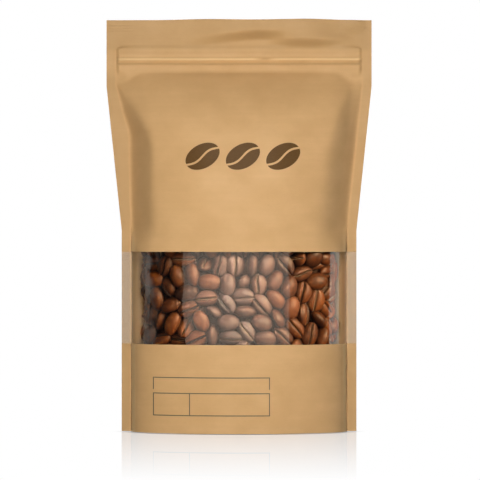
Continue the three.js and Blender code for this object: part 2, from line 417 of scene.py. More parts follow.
@dataclass(frozen=True)
class ClearFilm:
    """Thin clear film that shows what is behind it and mirrors the lights."""

    tint: Colour = (0.97, 0.97, 0.96)
    # Milky white: partly the sealed film's own haze, partly painted reflection, and painted reflection
    # in patches on the left.
    haze_and_veil: Colour = (0.86, 0.80, 0.72)
    milkiness: float = 0.1
    patches: Grain = Grain((150.0, 150.0, 110.0), 3.0)
    patch_range: Span = (0.42, 0.56)
    head_on: float = 0.04
    steepness: float = 5.0
    roughness: float = 0.02

    def build(self) -> Material:
        """Makes the material.

        Returns:
            The material, which reads where the film is sealed and where a painted reflection veils it.
        """
        material, tree = new_shader("clear_film")
        facing = tree.add("LayerWeight", {"Blend": 0.5}).outputs["Facing"]
        steep = tree.combine("POWER", facing, self.steepness)
        gloss = tree.combine("MULTIPLY_ADD", steep, 1.0 - self.head_on, self.head_on)
        clear = tree.add("BsdfTransparent", {"Color": (*self.tint, 1.0)})
        haze_and_veil = tree.add("BsdfDiffuse", {"Color": (*self.haze_and_veil, 1.0)})
        patches = tree.ramp(tree.noise(self.patches), self.patch_range, (0.0, 1.0))
        # Milky over the seals, partly haze and partly painted reflection, and painted reflection in
        # patches on the left.
        haze = tree.combine("MULTIPLY_ADD", tree.painted("film_veil"), patches, tree.painted("sealed"))
        share = tree.combine("MULTIPLY", haze, self.milkiness)
        body = tree.add("MixShader", {0: share, 1: clear.outputs[0], 2: haze_and_veil.outputs[0]})
        mirror = tree.add("BsdfAnisotropic", {"Color": (*WHITE, 1.0), "Roughness": self.roughness})
        tree.finish(tree.add("MixShader", {0: gloss, 1: body.outputs[0], 2: mirror.outputs[0]}))
        return material


@dataclass(frozen=True)
class ZipperPlastic:
    """Milky extruded plastic with faint drawing lines along it."""

    pale: Colour = (0.82, 0.80, 0.75)
    dull: Colour = (0.70, 0.67, 0.61)
    lines: Grain = Grain((6.0, 900.0, 2600.0), 2.0)
    roughness: Span = (0.26, 0.4)
    milkiness: float = 0.2
    milk_depth: float = 0.001
    relief: float = 0.0001
    relief_share: float = 0.3

    def build(self) -> Material:
        """Makes the material.

        Returns:
            The material.
        """
        material, tree = new_shader("zipper_plastic")
        lines = tree.noise(self.lines)
        surface = tree.add("BsdfPrincipled", {
            "Base Color": tree.blend(tree.between(lines, (0.0, 1.0)), self.pale, self.dull),
            "Roughness": tree.between(lines, self.roughness),
            "Subsurface Weight": self.milkiness,
            "Subsurface Radius": (self.milk_depth, self.milk_depth, self.milk_depth),
            "Normal": tree.bump(lines, self.relief_share, self.relief),
        })
        tree.finish(surface)
        return material


@dataclass(frozen=True)
class RoastedBean:
    """Satin roasted coffee bean: each its own tone, with a paler crease."""

    dark: Colour = (0.105, 0.024, 0.003)
    light: Colour = (0.42, 0.105, 0.014)
    chaff: Colour = (0.70, 0.44, 0.24)
    # Painted reflection: the pale veil on the beans in the middle of the window.
    veil_tone: Colour = (0.25, 0.214, 0.19)
    # Painted shade: the dark colour of the gaps between beans, their creases and the core.
    crevice_shade: Colour = (0.034, 0.010, 0.003)
    gloss: Colour = (1.0, 0.8, 0.58)
    blotch: Grain = Grain((380.0, 380.0, 380.0), 5.0)
    wrinkle: Grain = Grain((1300.0, 1300.0, 1300.0), 4.0)
    blotch_share: float = 0.3
    roughness: Span = (0.3, 0.46)
    specular: float = 0.75
    relief: float = 0.0004
    relief_share: float = 0.6
    shade_reach: float = 0.005
    shade_power: float = 2.2
    shade_samples: int = 8

    def build(self) -> Material:
        """Makes the material.

        Returns:
            The material, which reads each bean's tone and painted veil, and its crease and the painted
            shade in its groove.
        """
        material, tree = new_shader("roasted_bean")
        wrinkle = tree.noise(self.wrinkle)
        blotch = tree.between(tree.noise(self.blotch), (-self.blotch_share, self.blotch_share))
        colour = tree.blend(tree.combine("ADD", tree.painted("tone"), blotch), self.dark, self.light)
        # Painted reflection: paler beans in the middle of the window.
        colour = tree.blend(tree.painted("painted_veil"), colour, self.veil_tone)
        # Painted shade in the creases.
        colour = tree.blend(tree.painted("groove"), colour, self.crevice_shade)
        # Painted shade: darker where other beans are close, in gaps and creases.
        reach = {"Distance": self.shade_reach}
        open_sky = tree.add("AmbientOcclusion", reach, only_local=True, samples=self.shade_samples)
        shade = tree.combine("POWER", open_sky.outputs["AO"], self.shade_power)
        colour = tree.blend(shade, self.crevice_shade, colour)
        surface = tree.add("BsdfPrincipled", {
            "Base Color": tree.blend(tree.painted("crease"), colour, self.chaff),
            "Roughness": tree.between(wrinkle, self.roughness),
            "Specular IOR Level": self.specular,
            "Specular Tint": (*self.gloss, 1.0),
            "Normal": tree.bump(wrinkle, self.relief_share, self.relief),
        })
        tree.finish(surface)
        return material


@dataclass(frozen=True)
class PrintedInk:
    """Thin ink, a little uneven where the paper's fibres take it."""

    name: str
    full: Colour
    wear_and_painted_light: Colour
    patches: Grain = Grain((900.0, 900.0, 2200.0), 3.0)
    roughness: Span = (0.5, 0.62)
    specular: float = 0.35

    def build(self) -> Material:
        """Makes the material.

        Returns:
            The material.
        """
        material, tree = new_shader(self.name)
        patches = tree.noise(self.patches)
        surface = tree.add("BsdfPrincipled", {
            "Base Color": tree.blend(tree.between(patches, (0.0, 1.0)), self.full, self.wear_and_painted_light),
            "Roughness": tree.between(patches, self.roughness),
            "Specular IOR Level": self.specular,
        })
        tree.finish(surface)
        return material


@dataclass(frozen=True)
class PouchForm:
    """Form of the filled pouch, as its solids have it."""

    flat_width: float = 140.0
    body_width: float = 124.0
    height: float = 217.0
    half_depth: float = 24.0
    belly: float = 1.5
    seal: float = 5.0
    full_z: float = 106.0
    shoulder_z: float = 182.0
    flat_z: float = 191.0
    shoulder_power: float = 3.4
    body_roundness: float = 2.0
    head_roundness: float = 5.0
    zip_low: float = 190.2
    zip_high: float = 201.8
    flange: float = 1.1
    mouth_opening: float = 0.9
    window_low: float = 46.3
    window_high: float = 94.7
    gusset_rise: float = 40.0
    skirt: float = 5.0
    gusset_sag: float = 1.5
    gusset_power: int = 4
    fill_z: float = 112.0

    def half_width(self, z: Array) -> Array:
        """Half the pouch's width at a height."""
        share = np.clip((z - self.full_z) / (self.shoulder_z - self.full_z), 0.0, 1.0)
        return (self.body_width + (self.flat_width - self.body_width) * share) / 2.0

    def panel_half_width(self, z: Array) -> Array:
        """Half the width between the side seals at a height."""
        return self.half_width(z) - self.seal

    def shoulder_share(self, z: Array) -> Array:
        """How far up the shoulder a height is, from 0 to 1."""
        return np.clip((z - self.full_z) / (self.flat_z - self.full_z), 0.0, 1.0)

    def bulge(self, z: Array) -> Array:
        """Half depth at the middle of a panel."""
        body = self.belly * np.sin(np.pi * np.clip(z, 0.0, self.full_z) / self.full_z)
        return self.half_depth * (1.0 - self.shoulder_share(z) ** self.shoulder_power) + body

    def crown(self, across: Array, z: Array) -> Array:
        """Share of the bulge at a place across the panel.

        Args:
            across: Places across the panel, from -1 to 1.
            z: Heights.

        Returns:
            A share from 0 at the seals to 1 in the middle.
        """
        extra = self.head_roundness - self.body_roundness
        roundness = self.body_roundness + extra * self.shoulder_share(z)
        return np.sqrt(np.clip(1.0 - np.abs(across) ** roundness, 0.0, 1.0))

    def lip_share(self, z: Array) -> Array:
        """How far up the lips a height is, from the zipper to the top edge."""
        return smooth((z - self.zip_high) / (self.height - self.zip_high))

    def gusset_height(self, along: Array, across: Array) -> Array:
        """Height of the gusset's underside.

        Args:
            along: Shares of its length, from -1 to 1.
            across: Shares of its depth, from -1 to 1.

        Returns:
            Heights over the floor.
        """
        rise = np.abs(along) ** self.gusset_power
        fold = self.gusset_sag + (self.gusset_rise - self.gusset_sag) * rise
        skirt = self.skirt + (self.gusset_rise - self.skirt) * rise
        return fold + (skirt - fold) * np.abs(across) ** self.gusset_power


@dataclass(frozen=True)
class Crease:
    """A fold that runs in from an upper corner: a ridge with a hollow beside it."""

    side: float
    heights: Row
    ridge: Row
    depth: Row
    near: float
    far: float
    sharpness: float

    def relief(self, x: Array, z: Array) -> Array:
        """Height of the fold over the plain panel.

        Args:
            x: Places across the pouch.
            z: Heights.

        Returns:
            Heights of 0 or less.
        """
        outside = self.side * x - np.interp(z, self.heights, self.ridge)
        share = np.clip(outside / self.near, 0.0, 1.0)
        wall = share + self.sharpness * share * (1.0 - share)
        back = 1.0 - smooth((outside - self.near) / self.far)
        return -np.interp(z, self.heights, self.depth) * wall * back


@dataclass(frozen=True)
class LipFold:
    """A soft fold across the lips, which leans them out above a climbing line."""

    middle: float
    left: float
    right: float
    low: float
    climb: float
    lean: float = 4.5
    height: float = 6.0
    roundness: float = 1.5

    def sway(self, x: Array, z: Array) -> Array:
        """How far the fold moves the lips.

        Args:
            x: Places across the pouch.
            z: Heights.

        Returns:
            Distances along Y, to the front.
        """
        away = x - self.middle
        share = np.clip(away / np.where(away < 0.0, self.left, self.right), -1.0, 1.0)
        line = self.low + self.climb * smooth(1.0 + away / self.left)
        reach = np.cos(0.5 * np.pi * share) ** self.roundness
        return -self.lean * reach * smooth((z - line) / self.height)


@dataclass(frozen=True)
class Scores:
    """Fine lines scored into an upper corner, across the side seal."""

    side: float
    heights: Row
    reach: float
    depth: float = 0.14
    half_height: float = 0.3

    def relief(self, x: Array, z: Array, half_width: float) -> Array:
        """Height of the lines over the plain paper.

        Args:
            x: Places across the pouch.
            z: Heights.
            half_width: Half the pouch's width at the corner.

        Returns:
            Heights of 0 or less.
        """
        inwards = half_width - self.side * x
        fade = 1.0 - smooth((inwards - 0.5 * self.reach) / (0.5 * self.reach))
        return -self.depth * fade * sum(swell(z - height, self.half_height) for height in self.heights)


@dataclass
class PaperPouch:
    """The paper: two front panels, the back and the folded base."""

    form: PouchForm
    paper: Material
    thickness: float = 0.28
    seal_half: float = 0.32
    panel_columns: int = 96
    seal_columns: int = 5
    body_row: float = 1.25
    zip_row: float = 0.4
    lip_row: float = 0.35
    zip_margin: float = 2.0
    gusset_grid: tuple[int, int] = (41, 65)
    gusset_gap: float = 0.12
    gusset_under: Span = (0.996, 0.986)
    lip_humps: Row = (-19.0, 35.0)
    lip_half_width: float = 27.0
    lip_lift: float = 0.4
    lip_room: float = 0.5
    lip_fade: float = 16.0
    band_foot: Ease = Ease(-8.0, 3.0)
    band_head: Ease = Ease(0.0, 2.5)
    band_step: Ease = Ease(-3.0, 2.0)
    band_edge: float = 0.2
    bead_z: float = 195.9
    bead: float = 0.9
    bead_half_height: float = 0.95
    groove_z: float = 193.9
    groove: float = 0.5
    groove_half_height: float = 0.5
    # A painted highlight along the zipper's bead, broken where the bead is dented.
    highlight_z: float = 196.4
    highlight_half_height: float = 0.5
    highlight_gap: float = 13.5
    highlight_gap_half_width: float = 4.0
    panel_fade: float = 2.0
    # Painted light at the foot of the front's side seals, below the window's top, where the steep paper
    # would be dark.
    foot_start: Ease = Ease(0.0, 0.08)
    foot_end: Ease = Ease(0.8, 2.4)
    foot_top: Ease = Ease(96.0, 14.0)
    foot_light: float = 0.85
    # The side seals are darker, by a share set by height and less on the right.
    press_side: float = 0.8
    press_heights: Row = (46.0, 47.0, 94.0, 95.0, 150.0, 186.0, 192.0)
    press_shares: Row = (0.76, 1.0, 1.0, 0.67, 0.55, 0.42, 0.08)
    press_right: float = 0.6
    # Painted shade in the groove under the zipper's bead.
    groove_shade: float = 0.8
    lip_start: Ease = Ease(-2.2, 3.2)
    # Painted shade on the lips above the zipper.
    lip_shade: float = 0.36
    # Painted shade along the lips' folds, on the front only, where they lean most.
    fold_shade: float = 0.75
    fold_step: float = 0.25
    rise_slope: float = 1.45
    rise_round: float = 1.6
    rise_from: Span = (96.5, 113.0)
    rise_start: float = 13.0
    rise_softness: Span = (3.0, 6.0)
    soft_side: float = 6.0
    least_softness: float = 0.01
    slimness: float = 0.12
    slim_side: Ease = Ease(16.0, 30.0)
    slim_start: float = 38.0
    crease_side: float = 0.9
    rim_width: float = 6.9
    rim_tightness: float = 5.1
    rim_low: Ease = Ease(-2.0, 2.0)
    rim_high: Ease = Ease(-1.5, 1.5)
    corner_drop: float = 6.0
    corner_reach: float = 16.0
    corner_foot: Ease = Ease(-40.0, 30.0)
    waves: int = 9
    wave_height: float = 0.09
    wave_lengths: Span = (17.0, 30.0)
    wave_turn: float = 0.42
    wave_side: float = 7.0
    tautness: float = 0.75
    taut_low: Ease = Ease(-14.0, 12.0)
    taut_high: Ease = Ease(-16.0, 14.0)
    flat_foot: Ease = Ease(-8.0, 6.0)
    seed: int = 11
    creases: tuple[Crease, ...] = (
        Crease(
            side=-1.0,
            heights=(55.0, 95.0, 126.0, 150.0, 157.5, 166.5, 176.0, 183.0),
            ridge=(47.0, 47.0, 46.5, 46.0, 49.5, 54.7, 60.0, 64.0),
            depth=(0.0, 0.7, 1.6, 2.8, 3.0, 2.4, 1.2, 0.0),
            near=7.0,
            far=6.0,
            sharpness=1.0,
        ),
        Crease(
            side=1.0,
            heights=(100.0, 142.0, 156.0, 168.0, 176.0, 183.0),
            ridge=(46.0, 47.5, 50.0, 52.5, 57.0, 62.0),
            depth=(0.0, 0.8, 1.2, 1.5, 1.2, 0.0),
            near=8.0,
            far=5.0,
            sharpness=0.3,
        ),
    )
    flat_heights: Row = (103.0, 122.0, 143.0, 157.0, 169.5, 177.0, 184.0)
    flat_widths: Row = (0.0, 1.2, 3.0, 4.4, 2.0, 1.0, 0.0)
    folds: tuple[LipFold, ...] = (
        LipFold(middle=12.0, left=46.0, right=16.0, low=201.8, climb=4.2),
        LipFold(middle=33.0, left=20.0, right=28.0, low=201.5, climb=0.0),
        LipFold(middle=60.0, left=8.0, right=7.0, low=208.5, climb=0.0, lean=1.6, height=5.0),
    )
    scores: tuple[Scores, ...] = (
        Scores(-1.0, (211.6, 213.0, 214.5), 17.0),
        Scores(1.0, (211.9, 212.9), 22.0),
    )
    phases: Array = field(init=False)

    def __post_init__(self) -> None:
        """Draws the soft waves of the paper."""
        draw = np.random.default_rng(self.seed)
        self.phases = draw.uniform(-1.0, 1.0, (2, self.waves, 4))

    def waviness(self, x: Array, z: Array, side: Side) -> Array:
        """Slight unevenness of the paper, over hand-sized to finger-sized waves.

        Args:
            x: Places across the pouch.
            z: Heights.
            side: The panel.

        Returns:
            Heights over the plain paper.
        """
        total = np.zeros(np.broadcast(x, z).shape)
        shortest, extra = self.wave_lengths
        for turn, lean, shift, share in self.phases[0 if side is Side.FRONT else 1]:
            length = shortest + extra * abs(share)
            angle = math.pi * (0.5 + self.wave_turn * lean)
            phase = (x * math.cos(angle) + z * math.sin(angle)) / length
            total += np.sin(2.0 * math.pi * (phase + shift)) * turn
        return self.wave_height * total

    def zip_padding(self, z: Array) -> Array:
        """How far the zipper inside holds the paper out.

        Args:
            z: Heights.

        Returns:
            Distances from the flat panel: a band, with a bead and a groove along it.
        """
        over = z - self.form.zip_high
        band = self.band_foot.at(z - self.form.zip_low) * (1.0 - self.band_head.at(over))
        band = band * (1.0 - self.band_edge * self.band_step.at(over))
        track = self.bead * swell(z - self.bead_z, self.bead_half_height)
        track -= self.groove * swell(z - self.groove_z, self.groove_half_height)
        return self.form.flange * band + track

    def mouth_gap(self, x: Array, z: Array) -> Array:
        """How far each lip stands out above the zipper, least near the side seals.

        Args:
            x: Places across the pouch.
            z: Heights.

        Returns:
            Distances from the flat panel.
        """
        form = self.form
        fade = smooth((form.panel_half_width(z) - np.abs(x)) / self.lip_fade)
        room = self.lip_room * fade * self.band_head.at(z - form.zip_high)
        return room + form.mouth_opening * form.lip_share(z) * np.cos(np.pi * x / form.flat_width) ** 2

    def lip_crest(self, x: Array) -> Array:
        """Soft humps along the lips, from 0 to 1."""
        shares = (np.clip((x - hump) / self.lip_half_width, -1.0, 1.0) for hump in self.lip_humps)
        return sum(np.cos(0.5 * np.pi * share) ** 2 for share in shares)

    def lip_sway(self, x: Array, z: Array) -> Array:
        """How both lips lean out together above the zipper."""
        return sum(fold.sway(x, z) for fold in self.folds)

    def fold_share(self, x: Array, z: Array) -> Array:
        """How sharply the lips lean at a place, from 0 to 1."""
        rise = self.lip_sway(x, z - self.fold_step) - self.lip_sway(x, z + self.fold_step)
        return np.clip(rise / (2.0 * self.fold_step), 0.0, 1.0)

    def slack(self, z: Array) -> Array:
        """Share of the paper's unevenness at a height, least where it is full."""
        full = self.taut_low.at(z - self.form.window_low) * self.taut_high.at(self.form.window_high - z)
        return (1.0 - self.tautness * full) * (1.0 - self.flat_foot.at(z - self.form.flat_z))

    def panel_edge(self, x: Array, z: Array, side: Side) -> Array:
        """How far from the middle a panel lifts off the flat paper at its side.

        Args:
            x: Places across the pouch.
            z: Heights.
            side: The panel.

        Returns:
            Half widths, less on the left of the front where its flat seal runs wider.
        """
        inner = self.form.panel_half_width(z)
        if side is Side.BACK:
            return inner
        return inner - np.where(x < 0.0, np.interp(z, self.flat_heights, self.flat_widths), 0.0)

    def surface(self, x: Array, z: Array, side: Side) -> Array:
        """Y of the paper's outside.

        Args:
            x: Places across the pouch.
            z: Heights.
            side: The panel.

        Returns:
            Y at each place.
        """
        form = self.form
        inner = self.panel_edge(x, z, side)
        inwards = np.maximum(inner - np.abs(x), 0.0)
        corner = smooth(1.0 - inwards / self.corner_reach) * self.corner_foot.at(z - form.flat_z)
        out = form.bulge(z + self.corner_drop * corner) * form.crown(np.clip(x / inner, -1.0, 1.0), z)
        over = z - (self.rise_from[0] if side is Side.FRONT else self.rise_from[1])
        slim = self.slim_side.at(np.abs(x)) * smooth(over / self.slim_start)
        out = out * (1.0 - self.slimness * slim)
        if side is Side.FRONT:
            for crease in self.creases:
                out = out + smooth(inwards / self.crease_side) * crease.relief(x, z)
        rise = self.rise_slope * (np.hypot(inwards, self.rise_round) - self.rise_round)
        softness = np.where(x < 0.0, *self.rise_softness) * smooth(inwards / self.soft_side)
        lesser = soft_least(out, rise, softness + self.least_softness)
        out = out + smooth(over / self.rise_start) * (lesser - out)
        beside_zip = self.rim_low.at(z - form.zip_low) * self.rim_high.at(form.zip_high - z)
        rim = smooth(inwards / (self.rim_width - self.rim_tightness * beside_zip))
        out = np.maximum(out, rim * (self.zip_padding(z) + self.mouth_gap(x, z)))
        out = out + smooth(inwards / self.wave_side) * self.slack(z) * self.waviness(x, z, side)
        if side is Side.FRONT:
            for lines in self.scores:
                out = out + lines.relief(x, z, form.flat_width / 2.0)
        return self.lip_sway(x, z) + side.value * (self.seal_half + out)

    def columns(self, z: Array) -> Array:
        """Places across the pouch at each height, close together at the seals.

        Args:
            z: Heights of the rows.

        Returns:
            A row of places for each height, from the left edge to the right.
        """
        share = np.sin(np.linspace(-0.5, 0.5, self.panel_columns + 1) * np.pi)
        seal = np.linspace(0.0, 1.0, self.seal_columns + 1)[1:] * self.form.seal
        inner = self.form.panel_half_width(z)[:, None]
        panel = inner * share[None, :]
        right = inner + seal[None, :]
        return np.concatenate([-right[:, ::-1], panel, right], axis=1)

    def panel(self, levels: Array, side: Side) -> Sheet:
        """A sheet of paper.

        Args:
            levels: Heights of its rows.
            side: The panel that it belongs to.

        Returns:
            Its outer and its inner grid.
        """
        x = self.columns(levels)
        if side is Side.BACK:
            x = x[:, ::-1]
        z = np.broadcast_to(levels[:, None], x.shape)
        lifted = z + self.lip_lift * self.form.lip_share(z) * self.lip_crest(x)
        face = np.stack([x, self.surface(x, z, side), lifted], axis=-1)
        return face, face - grid_normals(face) * self.thickness

    def levels(self, low: float, high: float) -> Array:
        """Heights of a panel's rows, close together at the zipper.

        Args:
            low: The panel's lower edge.
            high: Its upper edge.

        Returns:
            The heights, from the lower edge up.
        """
        form = self.form
        edges = (0.0, form.flat_z, form.zip_high + self.zip_margin, form.height)
        rows = [np.array([low])]
        for start, end, step in zip(edges, edges[1:], (self.body_row, self.zip_row, self.lip_row)):
            first, last = max(start, low), min(end, high)
            if last > first:
                rows.append(np.linspace(first, last, math.ceil((last - first) / step) + 1)[1:])
        return np.concatenate(rows)

    def gusset(self) -> Sheet:
        """The folded base, with its edge sealed down inside the panels.

        Returns:
            Its outer and its inner grid.
        """
        form = self.form
        rows, columns = self.gusset_grid
        along = np.sin(np.linspace(-0.5, 0.5, columns) * np.pi)
        across = np.concatenate([[-1.0], np.linspace(-1.0, 1.0, rows), [1.0]])
        clear = self.thickness + self.gusset_gap
        half_length = form.panel_half_width(np.array(0.0)) - clear
        half_depth = (form.half_depth + self.seal_half - clear) * form.crown(along, np.array(0.0))
        height = form.gusset_height(along[None, :], across[:, None])
        height[[0, -1]] = 0.0
        x = np.broadcast_to(half_length * along, height.shape)
        y = across[:, None] * half_depth[None, :]
        top = np.stack([x, y, height + self.thickness], axis=-1)
        under = np.stack([x * self.gusset_under[0], y * self.gusset_under[1], height], axis=-1)
        top[[0, -1], :, 2] = 0.0
        return under[:, ::-1], top[:, ::-1]

    def mark_seals_and_painted_light(self, piece: Piece, side: Side) -> None:
        """Marks the darker side seals, the lining, and where shade and light are painted: painted shade
        in the zipper's groove, on the lips and along their folds, a painted highlight along the
        zipper's bead and painted light at the foot of the front's side seals.

        Args:
            piece: A paper piece.
            side: The panel that it belongs to.
        """
        places = np.empty(len(piece.data.vertices) * 3)
        piece.data.vertices.foreach_get("co", places)
        x, _, z = places.reshape(-1, 3).T / MM
        inwards = self.panel_edge(x, z, side) - np.abs(x)
        front = 1.0 if side is Side.FRONT else 0.0
        # Side seals darker, by height and less on the right.
        seal = smooth(-inwards / self.press_side) * np.interp(z, self.press_heights, self.press_shares)
        seal *= np.where(x > 0.0, self.press_right, 1.0)
        on_panel = smooth(inwards / self.panel_fade)
        # Painted shade in the groove under the zipper's bead.
        groove = swell(z - self.groove_z, self.groove_half_height) * on_panel
        # Painted shade along the lips' folds, on the front only.
        folded = self.fold_share(x, z) * self.fold_shade * front
        # Painted shade on the lips above the zipper.
        lips = self.lip_shade * self.lip_start.at(z - self.form.zip_high)
        marks = np.maximum(self.groove_shade * groove, lips + (1.0 - lips) * folded)
        paint(piece, "dark_seal_and_shade", np.maximum(seal, marks))
        # Painted highlight along the zipper's bead, broken at one dent.
        wear_and_painted_light = 1.0 - swell(x - self.highlight_gap, self.highlight_gap_half_width)
        on_track = swell(z - self.highlight_z, self.highlight_half_height) * on_panel
        # Painted light at the foot of the front's side seals, lifting the shade where the paper turns
        # steeply.
        foot = self.foot_start.at(inwards) * (1.0 - self.foot_end.at(inwards))
        foot *= self.foot_light * (1.0 - self.foot_top.at(z)) * front
        paint(piece, "painted_light", np.maximum(on_track * wear_and_painted_light, foot))
        paint(piece, "lined", (np.arange(len(x)) >= len(x) // 2).astype(float))

    def build(self) -> list[Piece]:
        """Makes the paper pieces.

        Returns:
            The two front panels, the back and the base.
        """
        form = self.form
        upper = self.levels(form.window_high, form.height)
        lower = self.levels(0.0, form.window_low)
        whole = self.levels(0.0, form.height)
        pieces = [
            add_sheets("front_paper_upper", [self.panel(upper, Side.FRONT)]),
            add_sheets("front_paper_lower", [self.panel(lower, Side.FRONT)]),
            add_sheets("back_paper", [self.panel(whole, Side.BACK)]),
            add_sheets("base_gusset", [self.gusset()]),
        ]
        for piece in pieces:
            self.mark_seals_and_painted_light(piece, Side.BACK if piece.name == "back_paper" else Side.FRONT)
            piece.data.materials.append(self.paper)
            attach(piece, BODY)
            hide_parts("paper_pouch")
        return pieces


@dataclass
class ClearWindow:
    """The film across the front, lapped under the paper above and below it."""

    pouch: PaperPouch
    film: Material
    rows: int = 60
    lap: float = 3.5
    thickness: float = 0.06
    gap: float = 0.01
    seal_side: float = 0.8
    # Painted reflection: milky patches on the film's left side.
    film_veil_x: float = -49.0
    film_veil_width: float = 5.0
    film_veil: float = 0.55

    def build(self) -> Piece:
        """Makes the film.

        Returns:
            The film, marked where it is sealed and where a painted reflection veils it on the left.
        """
        pouch, form = self.pouch, self.pouch.form
        levels = np.linspace(form.window_low - self.lap, form.window_high + self.lap, self.rows)
        x = pouch.columns(levels)
        z = np.broadcast_to(levels[:, None], x.shape)
        face = np.stack([x, pouch.surface(x, z, Side.FRONT), z], axis=-1)
        normals = grid_normals(face)
        outer = face - normals * (pouch.thickness + self.gap)
        piece = add_sheets("clear_window", [(outer, outer - normals * self.thickness)])
        sealed = smooth((np.abs(x) - form.panel_half_width(z)) / self.seal_side)
        # Painted reflection on the film's left side.
        film_veil = self.film_veil * swell(x - self.film_veil_x, self.film_veil_width)
        paint(piece, "sealed", np.tile(sealed.reshape(-1), 2))
        paint(piece, "film_veil", np.tile(film_veil.reshape(-1), 2))
        piece.data.materials.append(self.film)
        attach(piece, BODY)
        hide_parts("window_film")
        return piece


@dataclass(frozen=True)
class BeanPacking:
    """Beans packed as short rods in the flattened space at the outside of the heap.

    The space runs along the heap's outline, up it and in from it. It is stretched
    inwards, so that a bean lying flat is as deep in it as it is wide.
    """

    half_arc: float = 74.0
    low: float = 38.0
    high: float = 103.0
    depth: float = 16.5
    radius: float = 4.3
    reach: float = 1.6
    count: int = 208
    rounds: int = 320
    steepness: float = 0.3
    first_share: float = 0.55
    growth: float = 0.45
    growing: float = 0.6
    move_share: float = 0.5
    turn_share: float = 0.3
    flattening: float = 0.92
    drift: Place = (0.0, -0.01, -0.05)
    least_gap: float = 1e-6
    seed: int = 12

    def settle(self) -> tuple[Array, Array]:
        """Pushes the rods apart until they lie side by side.

        Returns:
            The rods' middles and their directions.
        """
        draw = np.random.default_rng(self.seed)
        corner = np.array([-self.half_arc, self.low, 0.0])
        size = np.array([2.0 * self.half_arc, self.high - self.low, self.depth])
        middles = corner + draw.uniform(0.0, 1.0, (self.count, 3)) * size
        axes = unit(draw.normal(0.0, 1.0, (self.count, 3)) * (1.0, 1.0, self.steepness))
        offsets = np.array([-self.reach, 0.0, self.reach])[None, :, None]
        for step in range(self.rounds):
            grown = self.first_share + self.growth * step / (self.growing * self.rounds)
            radius = self.radius * min(1.0, grown)
            balls = middles[:, None] + axes[:, None] * offsets
            push = self.ball_pushes(middles, balls, radius)
            low = corner + radius
            high = corner + size - radius
            push += np.clip(low - balls, 0.0, None) - np.clip(balls - high, 0.0, None)
            middles = middles + self.move_share * push.mean(axis=1) + self.drift
            turn = (push * offsets).sum(axis=1) / (2.0 * self.reach**2)
            axes = axes + turn * self.turn_share
            axes[:, 2] *= self.flattening
            axes = unit(axes)
        return middles, axes

    def ball_pushes(self, middles: Array, balls: Array, radius: float) -> Array:
        """How far each ball of each rod is pushed by the rods that it overlaps.

        Args:
            middles: The rods' middles.
            balls: Three balls to a rod.
            radius: The balls' radius.

        Returns:
            A push for each ball.
        """
        span = np.linalg.norm(middles[:, None] - middles[None], axis=-1)
        first, second = np.nonzero(np.triu(span < 2.0 * (radius + self.reach), 1))
        gap = balls[first][:, :, None] - balls[second][:, None]
        distance = np.maximum(np.linalg.norm(gap, axis=-1, keepdims=True), self.least_gap)
        shove = gap / distance * np.clip(2.0 * radius - distance, 0.0, None) * 0.5
        push = np.zeros_like(balls)
        np.add.at(push, first, shove.sum(axis=2))
        np.add.at(push, second, -shove.sum(axis=1))
        return push


